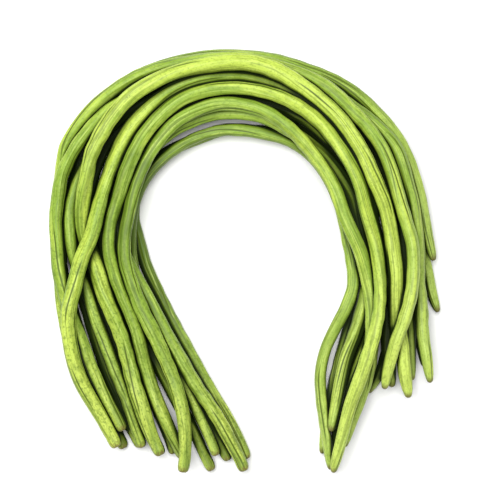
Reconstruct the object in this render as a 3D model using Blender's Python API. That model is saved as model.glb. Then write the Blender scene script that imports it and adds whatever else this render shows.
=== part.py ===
"""A bunch of yardlong beans, bent together into an arch and lying flat on a surface.

Units are metres, +Z is up and the surface is Z = 0. Every pod is one solid: a tube that
starts at the blunt stem end, runs the length of the pod and ends in the short dried beak.
The pods start at the lower left and end at the lower right.
"""

import math

import bmesh
import bpy
import numpy as np
from mathutils import Vector

# Driving dimensions
MM = 0.001
POD_RADIUS = 0.0042  # a pod of ordinary thickness
LEVEL_STEP = 0.0074  # height from one layer of pods to the next when they are laid
LIFT_STEP = 0.0003  # a little more height for each pod, in the order they are laid
RING_STEP = 0.0150  # distance between rings along a pod
SIDES = 8
GAP = 0.0004  # clear space left between neighbouring pods
FLAT_BAND = 0.00025  # what comes this near the surface is pressed flat on it
MERGE = 1e-6

# Radius near the ends, as (distance from that end, share of the full radius)
STEM_END = ((0.0, 0.62), (0.0015, 0.76), (0.0050, 0.84), (0.0100, 0.84), (0.0180, 0.91),
            (0.0320, 0.98), (0.0500, 1.0))
TAIL_END = ((0.0, 0.34), (0.0015, 0.52), (0.0050, 0.70), (0.0110, 0.83), (0.0220, 0.93),
            (0.0380, 1.0))

# How the pods settle on one another
SPAN_POINTS = 8  # points of the smooth curve in each span of a drawn route
PROBES = (0.0, 1 / 3, 2 / 3, 1.0)  # places on each rod where touching is tested
SETTLE_ROUNDS = 500
FIRM_ROUNDS = 300  # the last rounds, with no weight, only part the pods
SWELL_ROUNDS = 250  # over the first rounds the pods swell to their full thickness
SLIM_START = 0.4
SEARCH_ROUNDS = 10  # rounds between searches for neighbours
SEARCH_REACH = 0.004  # how far beyond touching a neighbour still counts
WEIGHT = 0.0001  # sinking in each round
HOLD = 0.30  # share of the way back to the drawn route in each round, seen from above
HOLD_HEIGHT = 0.012  # the same for the height
STIFFNESS = 0.08  # how much a pod spreads its bends along itself
SLIMMEST = 0.45  # ends count as at least this share of the full radius
TINY = 1e-9

# Colours of the oldest and the freshest pods, in linear light
DULL_GREEN = (0.085, 0.190, 0.030)
FRESH_GREEN = (0.330, 0.520, 0.060)
ROUGHNESS = 0.42

# The order in which the pods are laid, from the surface up
LAYING_ORDER = (16, 15, 14, 12, 2, 1, 9, 11, 13, 10, 3, 4, 8, 6, 7, 5)

# Each pod's thickness as a share of the ordinary one, its freshness from 0 to 1, and its
# route from stem to beak: millimetres to the right and away, and the layer it is laid in
ROUTES = {
    "bean_01": (0.97, 0.45, (
        (-74, -120, 0), (-81, -105, 0), (-88, -85, 0), (-95, -66, 0), (-102, -43, 0), (-110, -21, 0),
        (-114, 3, 0), (-115, 27, 0), (-111, 50, 0.6), (-103, 71, 1), (-91, 87, 1.3), (-76, 99, 1.3),
        (-58, 108, 1.3), (-36, 114, 1.2), (-3, 115, 1.2), (30, 109, 1.4), (52, 100, 1.4), (73, 85, 1.4),
        (88, 66, 1.4), (97, 47, 1.3), (101, 28, 1.3), (105, 10, 1.2), (109, -7, 1.2))),
    "bean_02": (0.92, 0.35, (
        (-67, -120, 0), (-74, -105, 0), (-83, -84, 0), (-91, -60, 0), (-98, -33, 0), (-105, -9, 0),
        (-108, 18, 0), (-106, 45, 0), (-97, 67, 0), (-84, 85, 0), (-65, 100, 0), (-39, 110, 0),
        (-6, 115, 0), (19, 110, 0), (37, 104, 0.2), (53, 95, 0.3), (68, 85, 0.3), (82, 71, 0.4),
        (90, 57, 0.4), (95, 42, 0.4), (98, 24, 0.4), (101, 5, 0.5), (106, -13, 0.6), (110, -30, 0.6),
        (113, -38, 0.6))),
    "bean_03": (1.02, 0.55, (
        (-79, -113, 0.7), (-86, -101, 0.7), (-93, -85, 0.7), (-101, -69, 0.8), (-107, -48, 1),
        (-112, -24, 1), (-113, 0, 1), (-114, 21, 1), (-113, 41, 1.4), (-110, 60, 2), (-102, 73, 2.2),
        (-91, 85, 2.2), (-77, 95, 2.1), (-60, 104, 2.1), (-39, 110, 2), (-15, 113, 2), (6, 112, 2),
        (27, 106, 2.2), (43, 97, 3), (56, 86, 3), (67, 76, 3), (76, 64, 3), (82, 49, 3), (86, 34, 3),
        (91, 17, 3), (95, 0, 3), (94, -15, 3), (91, -32, 3), (86, -48, 3), (82, -63, 2.5),
        (79, -83, 1.5))),
    "bean_04": (1.00, 0.50, (
        (-79, -110, 1.2), (-86, -95, 1.2), (-94, -79, 1.2), (-101, -61, 1.3), (-108, -41, 1.6),
        (-113, -24, 2), (-116, -6, 2), (-117, 9, 2), (-116, 24, 2), (-114, 40, 2.2), (-109, 54, 2.5),
        (-101, 66, 2.6), (-92, 77, 2.6), (-81, 86, 2.5), (-69, 94, 2.2), (-51, 101, 1.6), (-27, 106, 1.2),
        (0, 107, 1.2), (24, 102, 1.3), (45, 95, 1.8), (60, 86, 2), (74, 75, 2), (85, 64, 2), (91, 50, 2),
        (95, 36, 1.5), (97, 18, 1), (98, -6, 1), (100, -30, 1), (102, -51, 1.3), (105, -67, 1.4),
        (107, -80, 1))),
    "bean_05": (1.16, 1.00, (
        (-54, -124, 1), (-60, -111, 1), (-65, -96, 1.5), (-70, -81, 1.5), (-74, -61, 1.5), (-79, -45, 2),
        (-86, -29, 2), (-92, -12, 2), (-97, 1, 1.5), (-100, 15, 2), (-100, 29, 2.5), (-98, 43, 3),
        (-95, 58, 3), (-88, 73, 3), (-79, 85, 3), (-68, 95, 3), (-51, 104, 3), (-30, 110, 3),
        (-6, 112, 3), (15, 108, 3), (32, 98, 3), (48, 85, 3), (59, 70, 3), (68, 55, 3), (74, 40, 3),
        (79, 26, 2.5), (82, 9, 2), (83, -7, 2), (85, -24, 2), (86, -41, 1.5), (89, -57, 1.5),
        (91, -73, 1.5), (94, -89, 1))),
    "bean_06": (1.06, 0.85, (
        (-79, -118, 1), (-86, -104, 1), (-95, -89, 1.5), (-103, -71, 2), (-107, -53, 2.5), (-107, -35, 3),
        (-103, -19, 3), (-98, -4, 3), (-92, 10, 3), (-88, 25, 3), (-83, 40, 2.5), (-79, 53, 2.5),
        (-73, 66, 2.5), (-65, 79, 2.5), (-53, 91, 2.5), (-36, 100, 2.5), (-18, 104, 2.3), (0, 104, 2),
        (18, 98, 2), (35, 88, 2), (51, 76, 2), (62, 60, 2), (70, 44, 2), (74, 29, 2), (77, 13, 1.5),
        (80, -3, 1), (82, -21, 1), (83, -39, 1), (83, -57, 1), (84, -73, 1), (85, -83, 0.7))),
    "bean_07": (1.04, 0.75, (
        (-41, -126, 1), (-48, -114, 1), (-53, -102, 1.5), (-59, -88, 1.5), (-64, -72, 1.5), (-68, -54, 2),
        (-73, -35, 2), (-79, -18, 2), (-82, -4, 2), (-82, 9, 2), (-80, 23, 2), (-77, 36, 2.5),
        (-72, 49, 3), (-66, 61, 3), (-59, 73, 3), (-49, 83, 3), (-36, 91, 3), (-18, 95, 3), (0, 95, 3),
        (18, 91, 3), (34, 82, 3), (47, 70, 3), (57, 55, 3), (64, 41, 3), (68, 28, 2.5), (71, 14, 2),
        (74, 0, 2), (76, -14, 2.2), (76, -28, 2.5), (74, -43, 3), (70, -59, 3), (66, -73, 3),
        (61, -88, 2.5), (57, -103, 2), (53, -120, 1.5), (50, -134, 1))),
    "bean_08": (0.98, 0.70, (
        (-40, -133, 2), (-38, -119, 2), (-39, -102, 2.3), (-43, -84, 2.2), (-50, -65, 2), (-59, -45, 2),
        (-68, -27, 1.8), (-74, -9, 1.8), (-77, 6, 1.8), (-75, 23, 1.8), (-71, 38, 1.9), (-65, 53, 2),
        (-57, 65, 2.1), (-47, 76, 2.4), (-32, 84, 2.5), (-17, 88, 2.5), (0, 86, 2.5), (16, 79, 3),
        (29, 68, 3), (41, 56, 3), (50, 43, 3), (57, 28, 3), (64, 14, 3), (71, 1, 2.6), (76, -12, 2.2),
        (78, -26, 1.6), (78, -42, 1.3), (76, -57, 1.2), (72, -74, 1), (66, -92, 1), (60, -108, 0.8),
        (57, -118, 0.8))),
    "bean_09": (0.95, 0.30, (
        (-23, -134, 0.5), (-29, -122, 0.5), (-36, -107, 0.5), (-45, -90, 0.5), (-54, -72, 0.5),
        (-65, -53, 0.5), (-76, -33, 0.6), (-85, -13, 0.8), (-88, 6, 0.9), (-88, 25, 0.9), (-83, 45, 0.9),
        (-74, 61, 0.9), (-61, 76, 0.9), (-42, 86, 0.9), (-18, 91, 1), (7, 89, 1), (29, 80, 1.4),
        (46, 67, 1.7), (59, 53, 1.6), (68, 40, 1.5), (77, 24, 1.4), (82, 6, 1.3), (83, -11, 1.3),
        (80, -28, 1.3), (74, -46, 1.3), (67, -63, 1.3), (59, -82, 1), (54, -97, 1), (52, -113, 0.7),
        (50, -128, 0.5))),
    "bean_10": (1.05, 0.60, (
        (-4, -134, 1), (-9, -122, 1), (-17, -107, 1.5), (-26, -93, 1.5), (-36, -78, 1.5), (-47, -60, 1.5),
        (-57, -41, 1.3), (-67, -21, 1.1), (-74, -5, 1), (-79, 9, 1), (-79, 24, 1), (-75, 38, 1.2),
        (-68, 50, 1.5), (-59, 61, 1.8), (-47, 72, 2), (-31, 79, 2), (-15, 83, 2), (0, 82, 2), (15, 77, 2),
        (29, 67, 1.6), (45, 55, 1.3), (59, 41, 1.1), (69, 25, 1), (75, 6, 1), (77, -12, 1), (74, -30, 1),
        (69, -48, 1), (62, -67, 1), (57, -85, 1), (54, -101, 1), (52, -110, 1))),
    "bean_11": (0.90, 0.45, (
        (-20, -124, 1), (-26, -109, 1), (-33, -95, 1), (-40, -81, 1), (-50, -63, 1), (-61, -43, 1),
        (-69, -24, 1), (-74, -6, 1), (-75, 9, 1), (-74, 24, 1), (-70, 37, 1), (-62, 48, 1), (-53, 57, 1),
        (-41, 65, 1), (-28, 71, 1), (-13, 74, 1), (1, 73, 1), (18, 70, 1), (35, 64, 0.9), (49, 50, 0.9),
        (59, 32, 1), (65, 15, 1), (70, 0, 1.2), (70, -14, 1.6), (66, -28, 2), (59, -40, 2),
        (52, -53, 1.6), (46, -67, 1.5), (45, -83, 1), (46, -97, 1), (48, -114, 1), (50, -133, 0.7))),
    "bean_12": (0.88, 0.40, (
        (-2, -127, 0.7), (-7, -116, 0.7), (-14, -103, 0.6), (-23, -88, 0.6), (-34, -70, 0.5),
        (-46, -50, 0.4), (-58, -29, 0.2), (-69, -9, 0), (-75, 10, 0), (-74, 28, 0), (-69, 43, 0),
        (-59, 54, 0), (-44, 63, 0), (-29, 69, 0), (-13, 73, 0), (3, 72, 0), (20, 70, 0), (35, 64, 0),
        (49, 52, 0), (59, 35, 0), (65, 17, 0), (68, 0, 0), (67, -19, 0.2), (62, -41, 0.4), (56, -63, 0.5),
        (51, -84, 0.5), (47, -102, 0.5), (46, -114, 0.5), (44, -124, 0.5))),
    "bean_13": (0.96, 0.25, (
        (-64, -119, 1.3), (-69, -103, 1.4), (-75, -86, 1.5), (-82, -69, 1.5), (-88, -53, 1.5),
        (-95, -35, 1.5), (-101, -20, 1.3), (-106, -7, 1.5), (-109, 6, 1.6), (-109, 21, 1.6),
        (-106, 36, 1.5), (-101, 49, 1.3), (-94, 64, 0.9), (-82, 79, 0.8), (-65, 91, 0.8), (-44, 99, 0.8),
        (-23, 102, 0.9), (3, 101, 0.9), (26, 93, 1), (45, 82, 1), (61, 68, 1), (74, 50, 1), (83, 32, 0.9),
        (89, 13, 0.8), (92, -5, 0.8), (94, -24, 0.7), (96, -43, 0.6), (97, -60, 0.6), (98, -79, 0.5))),
    "bean_14": (0.92, 0.15, (
        (-59, -124, 0), (-67, -109, 0), (-76, -90, 0), (-84, -71, 0), (-90, -51, 0), (-95, -30, 0),
        (-98, -9, 0), (-100, 12, 0), (-98, 33, 0), (-92, 54, 0), (-82, 72, 0), (-68, 87, 0), (-51, 97, 0),
        (-30, 104, 0), (-6, 106, 0), (21, 102, 0), (43, 92, 0), (61, 78, 0), (74, 61, 0), (83, 43, 0),
        (89, 24, 0), (93, 3, 0), (96, -18, 0), (98, -37, 0), (101, -54, 0), (104, -71, 0))),
    "bean_15": (0.92, 0.15, (
        (-46, -124, 0), (-50, -110, 0), (-57, -95, 0), (-65, -75, 0), (-74, -54, 0), (-82, -33, 0),
        (-89, -13, 0), (-91, 6, 0), (-90, 27, 0), (-85, 47, 0), (-76, 64, 0), (-63, 79, 0), (-45, 89, 0),
        (-24, 95, 0), (-3, 96, 0), (22, 90, 0), (41, 80, 0), (58, 64, 0), (70, 46, 0), (80, 25, 0),
        (85, 6, 0), (86, -15, 0), (84, -36, 0), (80, -54, 0), (76, -71, 0), (68, -86, 0))),
    "bean_16": (0.92, 0.20, (
        (-13, -128, 0), (-21, -113, 0), (-30, -97, 0), (-41, -78, 0), (-53, -57, 0), (-65, -35, 0),
        (-77, -13, 0), (-82, 6, 0), (-82, 26, 0), (-76, 44, 0), (-66, 61, 0), (-50, 75, 0), (-28, 85, 0),
        (-6, 87, 0), (16, 82, 0), (34, 72, 0), (50, 58, 0), (62, 40, 0), (72, 20, 0), (77, 0, 0),
        (77, -21, 0), (73, -42, 0), (67, -61, 0), (60, -80, 0))),
}


def clear_scene():
    for obj in list(bpy.data.objects):
        bpy.data.objects.remove(obj)


def squares(rows):
    return rows[:, 0] ** 2 + rows[:, 1] ** 2 + rows[:, 2] ** 2


def along_of(points):
    """Distance of each point from the first, measured along the route."""
    return np.concatenate(([0.0], np.cumsum(np.sqrt(squares(points[1:] - points[:-1])))))


def through(knots):
    """A Catmull-Rom curve through the knots."""
    ends = [2 * knots[0] - knots[1], *knots, 2 * knots[-1] - knots[-2]]
    curve = []
    for a, b, c, d in zip(ends, ends[1:], ends[2:], ends[3:]):
        for t in np.arange(SPAN_POINTS) / SPAN_POINTS:
            bend = (2 * a - 5 * b + 4 * c - d) * t**2 + (3 * b - a - 3 * c + d) * t**3
            curve.append(0.5 * (2 * b + (c - a) * t + bend))
    return np.array([*curve, knots[-1]])


def places_at(points, wanted):
    """Places on a route at the wanted distances along it."""
    along = along_of(points)
    return np.stack([np.interp(wanted, along, points[:, axis]) for axis in range(3)], axis=1)


def laid(route, lift):
    """A drawn route as points one ring step apart, in the layers it is laid in."""
    knots = [np.array((x * MM, y * MM, POD_RADIUS + layer * LEVEL_STEP + lift)) for x, y, layer in route]
    curve = through(knots)
    length = along_of(curve)[-1]
    return places_at(curve, np.linspace(0.0, length, round(length / RING_STEP) + 1))


def end_share(along, length):
    """Radius at a distance along a pod, as a share of its full radius."""
    from_stem = np.interp(along, *zip(*STEM_END))
    from_tail = np.interp(length - along, *zip(*TAIL_END))
    return np.minimum(from_stem, from_tail)


def chain_radii(chain, full_radius):
    along = along_of(chain)
    return full_radius * np.maximum(end_share(along, along[-1]), SLIMMEST)


class Bunch:
    """All the pods as chains of short rods, which move apart where they are too close."""

    def __init__(self, chains, full_radii):
        self.drawn = np.concatenate(chains)
        self.points = self.drawn.copy()
        self.radii = np.concatenate([chain_radii(*pair) for pair in zip(chains, full_radii)])
        starts = np.cumsum([0, *map(len, chains)])
        self.spans = list(zip(starts, starts[1:]))
        self.rods = np.concatenate([np.arange(start, end - 1) for start, end in self.spans])
        owner = np.repeat(np.arange(len(chains)), [end - start - 1 for start, end in self.spans])
        self.rod_owner = owner
        self.probe_rods = np.repeat(self.rods, len(PROBES))
        self.probe_owner = np.repeat(owner, len(PROBES))
        self.probe_shares = np.tile(PROBES, len(self.rods))

    def probe_places(self, rods, shares):
        return self.points[rods] * (1 - shares)[:, None] + self.points[rods + 1] * shares[:, None]

    def find_neighbours(self):
        """Pairs of probe and rod, of different pods, that may touch before the next search."""
        middles = (self.points[self.rods] + self.points[self.rods + 1]) / 2
        places = self.probe_places(self.probe_rods, self.probe_shares)
        apart = sum((places[:, None, axis] - middles[None, :, axis]) ** 2 for axis in range(3))
        reach = RING_STEP / 2 + 2 * POD_RADIUS + SEARCH_REACH
        near = (apart < reach**2) & (self.probe_owner[:, None] != self.rod_owner[None, :])
        self.pairs = np.nonzero(near)

    def move_apart(self, swelling):
        """Push pods that are too close away from each other, and return the deepest overlap."""
        probe, rod = self.pairs
        i, u = self.probe_rods[probe], self.probe_shares[probe]
        j = self.rods[rod]
        way = self.points[j + 1] - self.points[j]
        behind = self.probe_places(i, u) - self.points[j]
        dots = behind * way
        t = np.clip((dots[:, 0] + dots[:, 1] + dots[:, 2]) / squares(way), 0.0, 1.0)
        apart = behind - way * t[:, None]
        distance = np.sqrt(squares(apart)) + TINY
        radii = self.radii[i] * (1 - u) + self.radii[i + 1] * u
        radii = radii + self.radii[j] * (1 - t) + self.radii[j + 1] * t
        push = np.maximum(radii * swelling + GAP - distance, 0.0)
        shift = apart * (0.5 * push / distance)[:, None]
        self.shift_rods(((i, 1 - u, 1), (i + 1, u, 1), (j, 1 - t, -1), (j + 1, t, -1)), push > 0, shift)
        return push.max()

    def shift_rods(self, ends, touching, shift):
        """Give each rod end its share of the shifts, averaged over what it touches."""
        count = len(self.points)
        moved = np.zeros((count, 3))
        weight = np.zeros(count)
        for index, share, sign in ends:
            weight += np.bincount(index, share * touching, count)
            for axis in range(3):
                moved[:, axis] += sign * np.bincount(index, share * shift[:, axis], count)
        self.points += moved / np.maximum(weight, 1.0)[:, None]

    def spread_bends(self):
        """Even out how far each pod has strayed from its drawn route."""
        strayed = self.points - self.drawn
        for start, end in self.spans:
            pod = strayed[start:end]
            padded = np.concatenate((pod[:1], pod, pod[-1:]))
            pod += STIFFNESS * (padded[2:] + padded[:-2] - 2 * pod)
        self.points = self.drawn + strayed

    def sink(self):
        """Sink a little, and be drawn back a little to the drawn route."""
        self.points[:, 2] -= WEIGHT
        strayed = self.points - self.drawn
        self.points = self.drawn + strayed * (1 - np.array((HOLD, HOLD, HOLD_HEIGHT)))

    def stay_above(self):
        lowest = self.radii * math.cos(math.pi / SIDES)
        self.points[:, 2] = np.maximum(self.points[:, 2], lowest)

    def settle(self):
        for step in range(SETTLE_ROUNDS + FIRM_ROUNDS):
            if step % SEARCH_ROUNDS == 0:
                self.find_neighbours()
            if step < SETTLE_ROUNDS:
                self.sink()
            if step < SETTLE_ROUNDS + FIRM_ROUNDS / 2:
                self.spread_bends()
            self.stay_above()
            swelling = min(1.0, SLIM_START + (1 - SLIM_START) * step / SWELL_ROUNDS)
            overlap = self.move_apart(swelling)
            self.stay_above()
        print("the nearest pods are", round((GAP - overlap) / MM, 3), "mm apart")

    def chains(self):
        return [self.points[start:end] for start, end in self.spans]


def rings_of(chain, full_radius):
    """Centres and radii of a pod's rings: those of its chain, and more in its two end rods."""
    along = along_of(chain)
    length = along[-1]
    near_stem = [distance for distance, _ in STEM_END if distance < along[1]]
    near_tail = [length - distance for distance, _ in TAIL_END if length - distance > along[-2]]
    places = np.array(sorted([*near_stem, *along[1:-1], *near_tail]))
    return places_at(chain, places), full_radius * end_share(places, length)


def ring_frame(before, after):
    """Directions to the side and up, square to the pod between two of its ring centres."""
    forward = (Vector(after) - Vector(before)).normalized()
    side = forward.cross(Vector((0, 0, 1))).normalized()
    return side, side.cross(forward)


def pod_mesh(name, centres, radii):
    """A grid rolled round the ring centres, flat side down, and closed to a point at each end."""
    centres = np.concatenate((centres[:1], centres, centres[-1:]))
    radii = np.concatenate(([0.0], radii, [0.0]))
    last = len(centres) - 1
    frames = [ring_frame(centres[max(row - 1, 0)], centres[min(row + 1, last)]) for row in range(1, last)]
    frames = [frames[0], *frames, frames[-1]]
    bm = bmesh.new()
    bmesh.ops.create_grid(bm, x_segments=SIDES, y_segments=last, size=0.5)
    for vertex in bm.verts:
        row = round((vertex.co.y + 0.5) * last)
        turn = 2 * math.pi * (vertex.co.x + 0.5 / SIDES)
        side, up = frames[row]
        vertex.co = Vector(centres[row]) + float(radii[row]) * (side * math.sin(turn) + up * math.cos(turn))
    bmesh.ops.remove_doubles(bm, verts=bm.verts, dist=MERGE)
    bmesh.ops.recalc_face_normals(bm, faces=bm.faces)
    for vertex in bm.verts:
        if vertex.co.z < FLAT_BAND:
            vertex.co.z = 0.0
    mesh = bpy.data.meshes.new(name)
    bm.to_mesh(mesh)
    bm.free()
    mesh.shade_smooth()
    return mesh


def pod_material(name, freshness):
    material = bpy.data.materials.new(name)
    material.use_nodes = True
    skin = material.node_tree.nodes["Principled BSDF"]
    colour = [dull + (fresh - dull) * freshness for dull, fresh in zip(DULL_GREEN, FRESH_GREEN)]
    skin.inputs["Base Color"].default_value = (*colour, 1.0)
    skin.inputs["Roughness"].default_value = ROUGHNESS
    skin.inputs["Metallic"].default_value = 0.0
    return material


def add_pod(name, chain, full_radius, freshness):
    mesh = pod_mesh(name, *rings_of(chain, full_radius))
    mesh.materials.append(pod_material(name + "_skin", freshness))
    pod = bpy.data.objects.new(name, mesh)
    bpy.context.collection.objects.link(pod)
    return pod


def place_over_origin(pods):
    """Move the whole bunch so that its box is centred on the origin, seen from above."""
    corners = np.array([vertex.co[:] for pod in pods for vertex in pod.data.vertices])
    middle = (corners.min(axis=0) + corners.max(axis=0)) / 2
    for pod in pods:
        pod.location = (-middle[0], -middle[1], 0.0)


def main():
    clear_scene()
    full_radii = [share * POD_RADIUS for share, _, _ in ROUTES.values()]
    lifts = [LAYING_ORDER.index(number) * LIFT_STEP for number in range(1, len(ROUTES) + 1)]
    chains = [laid(route, lift) for (_, _, route), lift in zip(ROUTES.values(), lifts)]
    bunch = Bunch(chains, full_radii)
    bunch.settle()
    pods = []
    for name, chain, radius in zip(ROUTES, bunch.chains(), full_radii):
        pods.append(add_pod(name, chain, radius, ROUTES[name][1]))
    place_over_origin(pods)


main()
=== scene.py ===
# %% [markdown]
# # A bunch of yardlong beans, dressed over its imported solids
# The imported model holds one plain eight-sided solid for every pod, settled where the pod
# lies. This script grows a finer pod over each of those solids: the cut stem at one end,
# the swellings of the seeds, the two seams, the creases, and the dry beak. It could also
# bend one straight pod along many curves with modifiers, but then every pod would be the
# same pod. Growing each one from its own solid keeps it where that solid lies.

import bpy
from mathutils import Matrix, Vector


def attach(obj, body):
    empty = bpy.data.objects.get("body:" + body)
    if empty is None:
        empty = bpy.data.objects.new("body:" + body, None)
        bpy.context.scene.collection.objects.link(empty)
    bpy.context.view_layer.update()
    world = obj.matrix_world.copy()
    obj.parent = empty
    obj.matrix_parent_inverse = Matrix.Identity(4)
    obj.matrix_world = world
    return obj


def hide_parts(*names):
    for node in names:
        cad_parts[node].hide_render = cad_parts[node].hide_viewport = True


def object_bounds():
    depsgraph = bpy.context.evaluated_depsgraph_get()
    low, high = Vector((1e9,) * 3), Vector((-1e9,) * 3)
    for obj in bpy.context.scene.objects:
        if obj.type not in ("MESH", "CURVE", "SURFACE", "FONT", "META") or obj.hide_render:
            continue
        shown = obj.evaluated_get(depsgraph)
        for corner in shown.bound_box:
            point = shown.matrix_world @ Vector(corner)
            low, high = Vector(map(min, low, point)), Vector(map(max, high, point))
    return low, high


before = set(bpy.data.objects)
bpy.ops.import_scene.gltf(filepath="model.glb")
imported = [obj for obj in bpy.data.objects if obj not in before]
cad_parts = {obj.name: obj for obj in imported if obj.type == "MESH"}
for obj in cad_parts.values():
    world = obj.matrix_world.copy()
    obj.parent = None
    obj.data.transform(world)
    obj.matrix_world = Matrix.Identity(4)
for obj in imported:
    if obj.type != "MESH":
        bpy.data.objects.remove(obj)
CAD_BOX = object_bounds()
pod_solids = {name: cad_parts[name] for name in sorted(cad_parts)}
print(len(pod_solids), "pod solids")

# %% [markdown]
# ## Working values
# Lengths are in metres. A pod is about 9 mm thick and half a metre long, so the mesh needs
# rings less than 2 mm apart to carry its bends and seeds, and closer ones at the two ends,
# where the form changes quickly. A coarse pod with a Subdivision Surface modifier would
# be as smooth, but the creases and the light in the gaps are worked out point by point,
# so the points have to be there first.

# %% Working values
import math
import random

import bmesh
import bpy
import numpy as np
from mathutils import Vector

MM = 0.001
POD_SIDES = 56
RING_GAP = 1.7 * MM
END_RING_GAP = 0.6 * MM
STEM_ZONE = 20 * MM
TAIL_ZONE = 30 * MM
MERGE = 0.001 * MM
draws = random.Random(61)

# %% [markdown]
# ## The camera
# The bunch is seen from straight above. A camera with a long lens a metre up keeps the
# pods' thickness even from the middle of the view to its edge, as a flat product picture
# has it. Its field of view is worked out from the width that it has to take in. A
# parallel view would keep all widths exactly, but a photograph never has one.

# %% Camera straight above
VIEW_MIDDLE = Vector((3.0, 6.8, 0.0)) * MM
VIEW_WIDTH = 300 * MM
VIEW_LEVEL = 20 * MM
CAMERA_HEIGHT = 1.1

camera = bpy.data.objects.new("camera", bpy.data.cameras.new("camera"))
camera.data.angle = 2 * math.atan(VIEW_WIDTH / 2 / (CAMERA_HEIGHT - VIEW_LEVEL))
camera.location = VIEW_MIDDLE + Vector((0.0, 0.0, CAMERA_HEIGHT))
bpy.context.scene.collection.objects.link(camera)
bpy.context.scene.camera = camera
bpy.context.scene.view_settings.view_transform = "Standard"
print("field of view", round(math.degrees(camera.data.angle), 1), "degrees")

# %% [markdown]
# ## Floor and light
# The floor is a plain pale sheet. The light is that of a white product table: an even
# white surround, which fills the shadows between the pods, and one large soft lamp above,
# which rounds them and lays a soft sheen along their tops. A small lamp would draw a thin
# bright line along every pod, as on plastic.

# %% Floor
FLOOR_SIZE = 3.0
FLOOR_COLOUR = (0.92, 0.92, 0.91, 1.0)


def plain_material(name, colour, roughness):
    material = bpy.data.materials.new(name)
    material.use_nodes = True
    surface = material.node_tree.nodes["Principled BSDF"]
    surface.inputs["Base Color"].default_value = colour
    surface.inputs["Roughness"].default_value = roughness
    return material


def mesh_object(name, bm, material):
    mesh = bpy.data.meshes.new(name)
    bm.to_mesh(mesh)
    bm.free()
    mesh.materials.append(material)
    thing = bpy.data.objects.new(name, mesh)
    bpy.context.scene.collection.objects.link(thing)
    return thing


bm = bmesh.new()
bmesh.ops.create_grid(bm, x_segments=1, y_segments=1, size=FLOOR_SIZE / 2)
floor = mesh_object("floor", bm, plain_material("pale_floor", FLOOR_COLOUR, 0.6))

# %% Light
SURROUND_STRENGTH = 0.48
LAMP_PLACE = Vector((-0.22, 0.30, 1.3))
LAMP_SIZE = 1.1
LAMP_POWER = 26.0


def soft_lamp(name, place, size, power):
    lamp = bpy.data.objects.new(name, bpy.data.lights.new(name, "AREA"))
    lamp.data.shape = "DISK"
    lamp.data.size = size
    lamp.data.energy = power
    lamp.location = place
    lamp.rotation_euler = (VIEW_MIDDLE - place).to_track_quat("-Z", "Y").to_euler()
    bpy.context.scene.collection.objects.link(lamp)
    return lamp


world = bpy.data.worlds.new("white_surround")
world.use_nodes = True
world.node_tree.nodes["Background"].inputs["Color"].default_value = (1.0, 1.0, 1.0, 1.0)
world.node_tree.nodes["Background"].inputs["Strength"].default_value = SURROUND_STRENGTH
bpy.context.scene.world = world
soft_lamp("table_lamp", LAMP_PLACE, LAMP_SIZE, LAMP_POWER)
print("lit by a surround of", SURROUND_STRENGTH, "and a lamp of", LAMP_POWER, "W")

# %% [markdown]
# ## Where each pod runs
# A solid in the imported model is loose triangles, so a copy of it is merged first. Its
# points then lie in rings, one after another from the cut stem to the beak. Walking along
# the edges from any point ends at one of the two end rings, and walking back from there
# meets one whole ring at each step. That gives each ring's centre and radius without a
# list of numbers in this file.

# %% Walk along a solid
def layers_from(start):
    """Points of a merged solid in layers, by how many edges they are from the first layer."""
    seen = set(start)
    layers = [list(start)]
    while True:
        further = []
        for vertex in layers[-1]:
            for edge in vertex.link_edges:
                other = edge.other_vert(vertex)
                if other not in seen:
                    seen.add(other)
                    further.append(other)
        if not further:
            return layers
        layers.append(further)


def rings_of(solid):
    """Ring centres and radii of a pod's solid, from its stem to its beak."""
    bm = bmesh.new()
    bm.from_mesh(solid.data)
    bmesh.ops.remove_doubles(bm, verts=bm.verts, dist=MERGE)
    bm.verts.ensure_lookup_table()
    end_ring = layers_from([bm.verts[0]])[-1]
    rings = layers_from(end_ring)
    centres = [sum((vertex.co for vertex in ring), Vector()) / len(ring) for ring in rings]
    radii = [max((vertex.co - centre).length for vertex in ring) for ring, centre in zip(rings, centres)]
    bm.free()
    if radii[0] < radii[-1]:
        centres.reverse()
        radii.reverse()
    return centres, radii


pod_rings = {name: rings_of(solid) for name, solid in pod_solids.items()}
for name, (centres, radii) in pod_rings.items():
    print(name, len(centres), "rings, radius", round(max(radii) / MM, 2), "mm")

# %% [markdown]
# ## A smooth route
# A real pod bends without corners. The rings' centres are joined by Bezier spans whose
# handles follow the pod's direction at each ring. A Blender curve would do the same, but
# here the distance along the route is needed too. Rings that are close together near the
# ends are skipped, because such short spans would turn a tiny kink into a visible one.

# %% Smooth route through the ring centres
KNOT_GAP = 9 * MM
SPAN_POINTS = 16


def spread_knots(centres):
    knots = [centres[0]]
    for centre in centres[1:-1]:
        if (centre - knots[-1]).length > KNOT_GAP and (centre - centres[-1]).length > KNOT_GAP:
            knots.append(centre)
    return [*knots, centres[-1]]


def smooth_route(centres):
    """A dense smooth route through the knots, as an array of points."""
    knots = spread_knots(centres)
    ends = [2 * knots[0] - knots[1], *knots, 2 * knots[-1] - knots[-2]]
    ways = [(after - before).normalized() for before, after in zip(ends, ends[2:])]
    points = []
    for start, end, leaving, arriving in zip(knots, knots[1:], ways, ways[1:]):
        handle = (end - start).length / 3
        for share in np.arange(SPAN_POINTS) / SPAN_POINTS:
            a = start.lerp(start + leaving * handle, share)
            b = (start + leaving * handle).lerp(end - arriving * handle, share)
            c = (end - arriving * handle).lerp(end, share)
            points.append(a.lerp(b, share).lerp(b.lerp(c, share), share)[:])
    return np.array([*points, knots[-1][:]])


def distances(points):
    steps = np.linalg.norm(points[1:] - points[:-1], axis=1)
    return np.concatenate(([0.0], np.cumsum(steps)))


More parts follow.
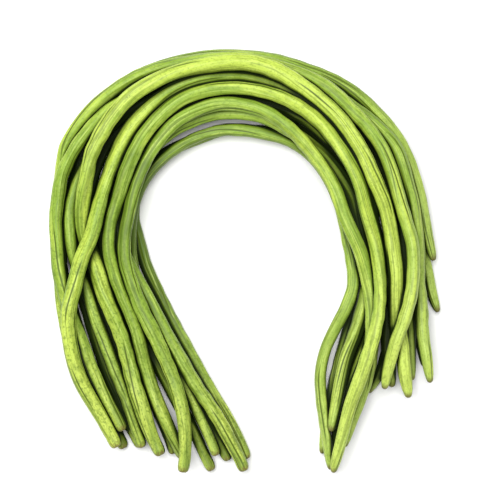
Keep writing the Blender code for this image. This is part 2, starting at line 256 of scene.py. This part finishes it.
def ring_places(length):
    """Distances from the stem at which a fine pod has its rings."""
    stem = np.arange(0.0, STEM_ZONE, END_RING_GAP)
    body = np.arange(STEM_ZONE, length - TAIL_ZONE, RING_GAP)
    tail = np.arange(length - TAIL_ZONE, length - END_RING_GAP / 2, END_RING_GAP)
    return np.concatenate((stem, body, tail, [length]))


pod_routes = {name: smooth_route(centres) for name, (centres, radii) in pod_rings.items()}
pod_lengths = {name: distances(route)[-1] for name, route in pod_routes.items()}
shortest, longest = min(pod_lengths.values()), max(pod_lengths.values())
print("pods are", round(shortest / MM), "to", round(longest / MM), "mm long")

# %% [markdown]
# ## The thickness along a pod
# From the cut stem a pod widens through a short neck to its full thickness, with a faint
# swelling over every seed. The last few centimetres narrow to a small dry beak. The taper
# is a short table of distances and shares, as a gauge would read them. The swellings are
# a wave along the pod whose length drifts, because seeds are never evenly spaced, and
# slower waves make the pod a little thicker here and thinner there.

# %% Thickness along a pod
# Distances from the end in millimetres, with the share of the full thickness there
STEM_PROFILE = (
    (0, 0.42), (0.6, 0.63), (1.5, 0.77), (3.5, 0.86), (8, 0.87), (18, 0.92), (32, 0.98), (50, 1.0),
)
TAIL_PROFILE = ((0, 0.20), (0.6, 0.37), (1.5, 0.48), (5, 0.66), (11, 0.81), (22, 0.92), (40, 1.0))
SEED_GAP = 13 * MM
SEED_SWELL = 0.035
LUMP_SWELL = 0.03
FULL_BODY = 0.85


def waves(along, gap, count, rng):
    """A smooth seeded wander between about -1 and 1, made of a few sine waves."""
    total = np.zeros_like(along)
    for _ in range(count):
        total += np.sin(2 * math.pi * along / (gap * rng.uniform(0.6, 1.7)) + rng.uniform(0, 2 * math.pi))
    return total / math.sqrt(count)


def taper(along, length):
    """Share of the full thickness that the two ends leave at each distance along."""
    from_stem = np.interp(along / MM, *zip(*STEM_PROFILE))
    from_tail = np.interp((length - along) / MM, *zip(*TAIL_PROFILE))
    return np.minimum(from_stem, from_tail)


def thickness(along, length, rng):
    body = taper(along, length)
    drift = 0.9 * waves(along, 90 * MM, 3, rng)
    seeds = np.cos(2 * math.pi * along / SEED_GAP + drift)
    strength = 0.5 + 0.5 * waves(along, 110 * MM, 2, rng)
    middle = np.clip((body - FULL_BODY) / (1 - FULL_BODY), 0.0, 1.0)
    lumps = waves(along, 70 * MM, 3, rng)
    return body * (1 + middle * (SEED_SWELL * strength * seeds + LUMP_SWELL * lumps))


neck = np.array((1, 10, 30)) * MM
print("1, 10 and 30 mm from the stem, thickness is", np.round(taper(neck, longest), 2), "of the full")


# %% [markdown]
# ## How sheltered each place is
# Pods packed side by side leave narrow gaps, and little light gets down into them. In a
# white surround and over a pale table such gaps come out too bright, so the skin is made
# darker there. The height of the bunch's top is noted on a fine grid first. From any point
# of the skin, looking along the grid in twelve directions tells how much light can reach
# it: less where the tops ahead rise steeply, and less low on a flank that faces another
# pod. Where the table lies open further on, light still comes in sideways under a pod that
# hangs over. A shader's own ambient occlusion would do something like it, but it doesn't
# survive an export as plainly as a value kept at each point.

# %% Light let in to a point
GRID_STEP = 0.7 * MM
GRID_EDGE = 20 * MM
LOOK_DISTANCES = np.array((0.9, 1.8, 2.8, 4.2, 6.2, 9.0, 13.0)) * MM
LOOK_WAYS = 12
FLANK_FROM = 2.5 * MM
FLANK_DROP = 4 * MM
FLANK_LOSS = 0.75
STEEP_LOSS = 0.55
OPEN_FROM = 6 * MM
SIDE_LIGHT = 0.62
LEAST_WEIGHT = 0.1
SOFTENED_OVER = 5
TOP_SHARE = 0.97
ROUTE_STRIDE = 3

grid_start = np.array(CAD_BOX[0][:2]) - GRID_EDGE
grid_shape = np.ceil((np.array(CAD_BOX[1][:2]) + GRID_EDGE - grid_start) / GRID_STEP).astype(int) + 1
tops = np.zeros(grid_shape)
for name, route in pod_routes.items():
    radii = TOP_SHARE * max(pod_rings[name][1]) * taper(distances(route), pod_lengths[name])
    reach = math.ceil(radii.max() / GRID_STEP)
    for (x, y, z), radius in zip(route[::ROUTE_STRIDE], radii[::ROUTE_STRIDE]):
        i, j = np.round((np.array((x, y)) - grid_start) / GRID_STEP).astype(int)
        across = grid_start[0] + np.arange(i - reach, i + reach + 1)[:, None] * GRID_STEP - x
        away = grid_start[1] + np.arange(j - reach, j + reach + 1)[None, :] * GRID_STEP - y
        cap = z + np.sqrt(np.maximum(radius**2 - across**2 - away**2, 0.0))
        cap[across**2 + away**2 > radius**2] = 0.0
        patch = tops[i - reach:i + reach + 1, j - reach:j + reach + 1]
        np.maximum(patch, cap, out=patch)
print("the tops were noted on a grid of", grid_shape[0], "by", grid_shape[1])


def rise_ahead(places, step):
    """How far the top of the bunch one step ahead stands above each place."""
    spot = np.round((places[..., :2] + step - grid_start) / GRID_STEP).astype(int)
    spot = np.clip(spot, 0, grid_shape - 1)
    return tops[spot[..., 0], spot[..., 1]] - places[..., 2]


def light_let_in(places, outward):
    """Share of the light that reaches each place of a pod, given the way it faces."""
    total = np.zeros(places.shape[:-1])
    weights = np.zeros_like(total)
    for angle in np.arange(LOOK_WAYS) * 2 * math.pi / LOOK_WAYS:
        way = np.array((math.cos(angle), math.sin(angle)))
        steepest = np.zeros_like(total)
        flank = np.zeros_like(total)
        side_light = np.full_like(total, SIDE_LIGHT)
        for distance in LOOK_DISTANCES:
            rise = rise_ahead(places, distance * way)
            steepest = np.maximum(steepest, rise / distance)
            if distance > FLANK_FROM:
                flank = np.maximum(flank, np.clip(1 + rise / FLANK_DROP, 0.0, 1.0))
            if distance > OPEN_FROM:
                side_light[rise > 0] = 0.0
        weight = np.maximum(0.5 + outward[..., :2] @ way, LEAST_WEIGHT)
        light = (1 - FLANK_LOSS * flank * (1 - outward[..., 2])) / (1 + STEEP_LOSS * steepest**2)
        total += weight * np.maximum(light, side_light)
        weights += weight
    light = np.pad(total / weights, ((SOFTENED_OVER // 2,) * 2, (0, 0)), mode="edge")
    return sum(light[i:i + len(places)] for i in range(SOFTENED_OVER)) / SOFTENED_OVER


# %% [markdown]
# ## Growing the mesh
# A real pod isn't a round tube. It is a little oval, dips along its two seams, and has
# fine creases that come and go where it has begun to dry. One grid is rolled round the
# route: its columns run along the pod and its rows become the rings, so a single operator
# makes every face. The grid's two long edges meet and are merged, and its first and last
# rows close to a point. A curve with a bevel would be quicker, but it has one section all
# along. Each point keeps its place on the straightened pod as an attribute, so that the
# skin's pattern follows the pod's bends, and its light and crease depth for the colours.

# %% Grow one pod
WANDER = 0.25 * MM
PLAIN_SHARE = 0.975
OVAL = ((2, 0.050), (3, 0.030), (4, 0.025), (6, 0.012))
SEAM_DEPTH = 0.05
SEAM_WIDTH = 0.18
CREASES = 6
CREASE_DEPTH = 0.08
CREASE_WIDTH = 0.15
LIFT_OFF = 0.05 * MM


def route_frames(points):
    """Directions along, to the side and up at each point of a route."""
    ahead = np.concatenate((points[1:], points[-1:])) - np.concatenate((points[:1], points[:-1]))
    ahead /= np.linalg.norm(ahead, axis=1)[:, None]
    side = np.cross(ahead, (0.0, 0.0, 1.0))
    side /= np.linalg.norm(side, axis=1)[:, None]
    return ahead, side, np.cross(side, ahead)


def nearness(turn, place, width):
    """One at a place round the pod, falling to nothing a width or two away from it."""
    away = np.abs((turn - place + math.pi) % (2 * math.pi) - math.pi)
    return np.exp(-((away / width) ** 2))


def section(turn, along, rng):
    """How far the skin stands out round the pod, and how deep each place is in a crease."""
    share = np.full((len(along), turn.shape[1]), PLAIN_SHARE)
    for lobes, size in OVAL:
        twist = 1.3 * waves(along, 170 * MM, 2, rng)[:, None] + rng.uniform(0.0, 6.0)
        share += size * np.cos(lobes * turn + twist)
    depth = np.zeros_like(share)
    for _ in range(CREASES):
        place = rng.uniform(0.0, 6.28) + 0.5 * waves(along, 240 * MM, 2, rng)[:, None]
        strength = np.clip(0.3 + waves(along, 110 * MM, 2, rng), 0.0, 1.0)[:, None]
        depth = np.maximum(depth, strength * nearness(turn, place, CREASE_WIDTH))
    share -= CREASE_DEPTH * depth
    for seam in (0.0, math.pi):
        share -= SEAM_DEPTH * nearness(turn, seam, SEAM_WIDTH)
    return share, depth


def pod_points(name, seam_turn, rng):
    """Fine points of a pod in rings: their middles, places, crease depths and straightened places."""
    route = pod_routes[name]
    length = pod_lengths[name]
    along = ring_places(length)
    known = distances(route)
    middle = np.stack([np.interp(along, known, route[:, axis]) for axis in range(3)], axis=1)
    ahead, side, up = route_frames(middle)
    middle += WANDER * waves(along, 45 * MM, 3, rng)[:, None] * side
    middle += WANDER / 2 * waves(along, 60 * MM, 3, rng)[:, None] * up
    radius = max(pod_rings[name][1]) * thickness(along, length, rng)
    turn = np.linspace(0.0, 2 * math.pi, POD_SIDES + 1)[None, :]
    lean = (seam_turn + 0.35 * waves(along, 260 * MM, 2, rng))[:, None]
    share, creases = section(turn, along, rng)
    reach = radius[:, None] * share
    places = middle[:, None] + reach[..., None] * (
        np.cos(turn + lean)[..., None] * up[:, None] + np.sin(turn + lean)[..., None] * side[:, None])
    places[..., 2] = np.maximum(places[..., 2], LIFT_OFF)
    straight = np.stack(np.broadcast_arrays(
        radius[:, None] * np.cos(turn), radius[:, None] * np.sin(turn), along[:, None]), axis=2)
    return middle, places, creases, straight


def closed_rows(middle, rows):
    """The rows with a row of equal points added before the first and after the last."""
    shape = (1, rows.shape[1], 3)
    return np.concatenate((np.broadcast_to(middle[0], shape), rows, np.broadcast_to(middle[-1], shape)))


def grow_pod(name, seam_turn, material):
    middle, places, creases, straight = pod_points(name, seam_turn, random.Random(name))
    length = pod_lengths[name]
    outward = places - middle[:, None]
    outward /= np.linalg.norm(outward, axis=2)[..., None]
    light = np.pad(light_let_in(places, outward), ((1, 1), (0, 0)), mode="edge")
    creases = np.pad(creases, ((1, 1), (0, 0)))
    places = closed_rows(middle, places)
    straight = closed_rows(np.array(((0.0, 0.0, 0.0), (0.0, 0.0, length))), straight)
    last = len(places) - 1
    bm = bmesh.new()
    bmesh.ops.create_grid(bm, x_segments=POD_SIDES, y_segments=last, size=0.5)
    on_pod = bm.verts.layers.float_vector.new("on_pod")
    to_beak = bm.verts.layers.float.new("to_beak")
    let_in = bm.verts.layers.float.new("let_in")
    crease = bm.verts.layers.float.new("crease")
    for vertex in bm.verts:
        row = round((vertex.co.y + 0.5) * last)
        column = round((vertex.co.x + 0.5) * POD_SIDES)
        vertex.co = places[row, column]
        vertex[on_pod] = straight[row, column]
        vertex[to_beak] = length - straight[row, column, 2]
        vertex[let_in] = light[row, column]
        vertex[crease] = creases[row, column]
    bmesh.ops.remove_doubles(bm, verts=bm.verts, dist=MERGE)
    bmesh.ops.recalc_face_normals(bm, faces=bm.faces)
    for face in bm.faces:
        face.smooth = True
    return mesh_object(name + "_pod", bm, material)


# %% [markdown]
# ## The skin
# Fresh skin is a thin satin layer. It is yellower where it is young and darker where it is
# older, in soft clouds and in bands that run along the pod. It is paler towards both ends,
# a little straw-coloured at the stem. The patterns read the place on the straightened pod,
# so they bend with it. A pattern on the object's own coordinates would cut across the
# pods like wood grain. A short class makes the nodes, so that a finish reads as a list of
# what lies over what.

# %% Helpers for the skin
class Skin:
    """Builds one skin material, with short calls for its nodes."""

    def __init__(self, name):
        self.material = bpy.data.materials.new(name)
        self.material.use_nodes = True
        self.tree = self.material.node_tree
        self.surface = self.tree.nodes["Principled BSDF"]

    def fill(self, inputs, values):
        """Links a node's output to an input, or sets the input to a plain value."""
        for socket, value in values:
            if isinstance(value, bpy.types.NodeSocket):
                self.tree.links.new(value, inputs[socket])
            else:
                inputs[socket].default_value = value

    def node(self, kind, values=(), **settings):
        made = self.tree.nodes.new(kind)
        for key, value in settings.items():
            setattr(made, key, value)
        self.fill(made.inputs, values)
        return made

    def attribute(self, name, output="Fac"):
        return self.node("ShaderNodeAttribute", attribute_name=name).outputs[output]

    def math(self, operation, a, b=0.0):
        return self.node("ShaderNodeMath", ((0, a), (1, b)), operation=operation).outputs[0]

    def noise(self, place, squeeze, scale, detail=2.0):
        """Soft noise, drawn out along the pod by squeezing the pod's places that way."""
        values = ((0, place), (1, squeeze))
        squeezed = self.node("ShaderNodeVectorMath", values, operation="MULTIPLY").outputs[0]
        values = (("Vector", squeezed), ("Scale", scale), ("Detail", detail))
        return self.node("ShaderNodeTexNoise", values).outputs["Fac"]

    def between(self, value, low, high, low_out=0.0, high_out=1.0):
        """A smooth change between two outputs as a value goes from low to high, or down to it."""
        values = [("Value", value), ("From Min", low), ("From Max", high)]
        values += [("To Min", low_out), ("To Max", high_out)]
        return self.node("ShaderNodeMapRange", values, interpolation_type="SMOOTHSTEP").outputs[0]

    def mix(self, share, a, b):
        return self.node("ShaderNodeMix", ((0, share), (6, a), (7, b)), data_type="RGBA").outputs[2]


# %% The greens of a pod
YOUNG_GREEN = (0.445, 0.575, 0.072, 1.0)
MIDDLE_GREEN = (0.230, 0.360, 0.036, 1.0)
OLD_GREEN = (0.076, 0.136, 0.009, 1.0)
PALE_GREEN = (0.600, 0.710, 0.190, 1.0)
STRAW = (0.480, 0.440, 0.150, 1.0)
CLOUD_SCALE = 110.0
BAND_SCALE = 260.0


def green_of(skin, place, stem, beak, freshness_and_shade):
    """Three greens from old to young in clouds and bands, paler towards both ends."""
    at_stem, at_side, beyond = freshness_and_shade
    clouds = skin.noise(place, (1.0, 1.0, 0.25), CLOUD_SCALE, 3.0)
    bands = skin.noise(place, (1.0, 1.0, 0.040), BAND_SCALE, 1.0)
    # A pod's freshness, set lower on the lower and inner pods as painted shade
    fresh_and_shade = skin.between(stem, 60 * MM, 130 * MM, at_stem, at_side)
    for change in (
        skin.between(stem, 190 * MM, 260 * MM, 0.0, beyond - at_side),
        skin.between(clouds, 0.30, 0.70, -0.20, 0.20),
        skin.between(bands, 0.34, 0.66, -0.16, 0.16),
        skin.between(stem, 120 * MM, 40 * MM, 0.0, 0.08),
        skin.between(beak, 190 * MM, 70 * MM, 0.0, 0.16),
    ):
        fresh_and_shade = skin.math("ADD", fresh_and_shade, change)
    green = skin.mix(skin.between(fresh_and_shade, 0.0, 0.5), OLD_GREEN, MIDDLE_GREEN)
    green = skin.mix(skin.between(fresh_and_shade, 0.5, 1.0), green, YOUNG_GREEN)
    green = skin.mix(skin.between(stem, 130 * MM, 10 * MM, 0.0, 0.14), green, STRAW)
    return skin.mix(skin.between(beak, 150 * MM, 20 * MM, 0.0, 0.28), green, PALE_GREEN)


# %% [markdown]
# ## Fibres, creases and seam lines
# Fibres run the whole length of a pod just under its skin. They show as pale streaks and
# darker grooves, so their noise is drawn out thirty times and more along the pod. The
# creases are already in the mesh, and painted shade darkens them by their depth at each
# point. A pair of thin lines follows the upper seam and fades in and out. They could be
# painted by hand, but a formula reaches all sixteen pods and stays sharp from close by.

# %% Marks along a pod
DARK_GREEN = (0.058, 0.088, 0.003, 1.0)
SEAM_GREEN = (0.085, 0.135, 0.004, 1.0)
SEAM_LINE_TURN = 0.13
SEAM_LINE_WIDTH = 0.07
SEAM_FADE_SCALE = 22.0


def with_fibres_and_crease_shade(skin, green, streaks, grooves):
    green = skin.mix(skin.between(streaks, 0.50, 0.74, 0.0, 0.50), green, PALE_GREEN)
    green = skin.mix(skin.between(streaks, 0.46, 0.28, 0.0, 0.45), green, DARK_GREEN)
    green = skin.mix(skin.between(grooves, 0.46, 0.34, 0.0, 0.45), green, DARK_GREEN)
    # Painted shade in the creases, darker the deeper the crease
    return skin.mix(skin.between(skin.attribute("crease"), 0.30, 0.80, 0.0, 0.92), green, DARK_GREEN)


def with_seam_lines(skin, green, place, parts):
    from_seam = skin.math("ABSOLUTE", skin.math("ARCTAN2", parts["Y"], parts["X"]))
    off_line = skin.math("ABSOLUTE", skin.math("SUBTRACT", from_seam, SEAM_LINE_TURN))
    fading = skin.noise(place, (0.0, 0.0, 1.0), SEAM_FADE_SCALE)
    faint = skin.between(fading, 0.42, 0.66, 0.05, 0.68)
    line = skin.math("MULTIPLY", skin.between(off_line, SEAM_LINE_WIDTH, 0.01), faint)
    return skin.mix(line, green, SEAM_GREEN)


# %% [markdown]
# ## Spots, ends and painted shade in the gaps
# The skin is mottled with darker patches, small flecks and a fine grain, most of all near
# the stem. The cut stem has a worn brown rim and the beak has dried brown. Deep in the
# gaps and low on the flanks, painted shade darkens the skin in two steps: first to dark
# green, which still shows a pod lying lower down, and then almost to black. One step
# alone either hid those pods or left the narrow gaps too bright.

# %% Spots, brown ends and painted shade in the gaps
STEM_BROWN = (0.170, 0.110, 0.035, 1.0)
BEAK_BROWN = (0.110, 0.075, 0.025, 1.0)
GAP_SHADE = (0.010, 0.020, 0.003, 1.0)
PATCH_SCALE = 420.0
GRAIN_SCALE = 800.0


def with_spots(skin, green, place, stem, flecks):
    patches = skin.between(skin.noise(place, (1.0, 1.0, 0.50), PATCH_SCALE, 3.0), 0.45, 0.75)
    mottling = skin.between(stem, 200 * MM, 50 * MM, 0.26, 0.54)
    green = skin.mix(skin.math("MULTIPLY", patches, mottling), green, OLD_GREEN)
    green = skin.mix(skin.between(flecks, 0.64, 0.76, 0.0, 0.60), green, DARK_GREEN)
    grain = skin.between(skin.noise(place, (1.0, 1.0, 0.80), GRAIN_SCALE, 3.0), 0.50, 0.68)
    rough = skin.between(stem, 220 * MM, 60 * MM, 0.30, 0.58)
    return skin.mix(skin.math("MULTIPLY", grain, rough), green, OLD_GREEN)


def with_brown_ends(skin, green, stem, beak, flecks):
    worn = skin.math("ADD", stem, skin.between(flecks, 0.30, 0.70, 2.0 * MM, -2.0 * MM))
    green = skin.mix(skin.between(worn, 3.0 * MM, 0.6 * MM, 0.0, 0.75), green, STEM_BROWN)
    return skin.mix(skin.between(beak, 5 * MM, 0.5 * MM, 0.0, 0.8), green, BEAK_BROWN)


def with_painted_gap_shade(skin, green, let_in):
    # Painted shade: darker where less light is let in, first dark green, then almost black
    green = skin.mix(skin.between(let_in, 0.70, 0.44, 0.0, 0.60), green, DARK_GREEN)
    return skin.mix(skin.between(let_in, 0.48, 0.28, 0.0, 0.97), green, GAP_SHADE)


# %% [markdown]
# ## Sheen and relief
# The skin has a soft satin sheen, rougher on its pale streaks, and none to speak of in
# the gaps, which no lamp reaches. The fibres also stand out a little, more on the old
# pods than on the plump young ones. That relief is far finer than the mesh, so it is bump,
# while everything wider than a millimetre is in the mesh itself.

# %% The whole skin
STREAK_SCALE = 1300.0
GROOVE_SCALE = 520.0
FLECK_SCALE = 1300.0
RELIEF = 0.5 * MM


def add_sheen(skin, streaks, let_in):
    roughness = skin.between(streaks, 0.3, 0.7, 0.42, 0.58)
    sheen = skin.between(let_in, 0.40, 0.85, 0.08, 0.28)
    skin.fill(skin.surface.inputs, (("Roughness", roughness), ("Specular IOR Level", sheen)))


def add_relief(skin, streaks, grooves, furrowed):
    furrows = skin.math("MULTIPLY", grooves, furrowed)
    height = skin.math("ADD", furrows, skin.math("MULTIPLY", streaks, 0.5))
    bump = skin.node("ShaderNodeBump", (("Height", height), ("Strength", 0.6), ("Distance", RELIEF)))
    skin.fill(skin.surface.inputs, (("Normal", bump.outputs[0]),))


def pod_skin(name, freshness_and_shade):
    """Skin from old green at 0 to young at 1, lower values also painting shade, at the stem, at the side
    and beyond.
    """
    skin = Skin(name)
    place = skin.attribute("on_pod", "Vector")
    parts = skin.node("ShaderNodeSeparateXYZ", ((0, place),)).outputs
    stem, beak, let_in = parts["Z"], skin.attribute("to_beak"), skin.attribute("let_in")
    streaks = skin.noise(place, (1.0, 1.0, 0.030), STREAK_SCALE, 3.0)
    grooves = skin.noise(place, (1.0, 1.0, 0.020), GROOVE_SCALE, 2.0)
    flecks = skin.noise(place, (1.0, 1.0, 0.60), FLECK_SCALE, 2.0)
    green = green_of(skin, place, stem, beak, freshness_and_shade)
    green = with_fibres_and_crease_shade(skin, green, streaks, grooves)
    green = with_seam_lines(skin, green, place, parts)
    green = with_spots(skin, green, place, stem, flecks)
    green = with_brown_ends(skin, green, stem, beak, flecks)
    green = with_painted_gap_shade(skin, green, let_in)
    skin.fill(skin.surface.inputs, (("Base Color", green),))
    add_sheen(skin, streaks, let_in)
    add_relief(skin, streaks, grooves, 1.6 - freshness_and_shade[2])
    return skin.material


# %% [markdown]
# ## Dressing the bunch
# The pods on top are the brightest and those beneath are duller, partly because the pods
# differ in age and partly as painted shade on the pods that lie lower or further in. Each
# pod gets a skin a little different from its neighbours' and a seam turned its own way.
# A pod's green also changes along it, so its freshness and painted shade are given at
# three places: at the stem, at the side of the arch, and beyond the crown. One skin for
# all the pods would be simpler, but then the bunch would look like bent wire.

# %% Grow and dress every pod
# Freshness at the stem, at the side and beyond; the low values of lower and inner pods are painted shade
# as well as age
FRESHNESS_AND_SHADE = {
    "bean_01": (0.40, 0.46, 0.40), "bean_02": (0.38, 0.36, 0.36), "bean_03": (0.54, 0.62, 0.66),
    "bean_04": (0.48, 0.62, 0.46), "bean_05": (0.58, 0.94, 1.00), "bean_06": (0.86, 0.84, 0.66),
    "bean_07": (0.52, 0.50, 0.72), "bean_08": (0.56, 0.38, 0.54), "bean_09": (0.46, 0.38, 0.44),
    "bean_10": (0.60, 0.36, 0.50), "bean_11": (0.46, 0.20, 0.46), "bean_12": (0.56, 0.18, 0.48),
    "bean_13": (0.40, 0.52, 0.36), "bean_14": (0.34, 0.28, 0.28), "bean_15": (0.34, 0.30, 0.28),
    "bean_16": (0.38, 0.26, 0.28),
}
SEAM_TURN = {
    "bean_05": -0.35, "bean_06": 1.1, "bean_07": -0.9, "bean_04": 0.3, "bean_11": 0.2, "bean_12": 0.1,
}
pods = []
for name in pod_solids:
    skin = pod_skin(name + "_skin", FRESHNESS_AND_SHADE[name])
    pod = grow_pod(name, SEAM_TURN.get(name, draws.uniform(-1.2, 1.2)), skin)
    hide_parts(name)
    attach(pod, "root")
    pods.append(pod)
print(len(pods), "pods,", sum(len(pod.data.polygons) for pod in pods), "faces")
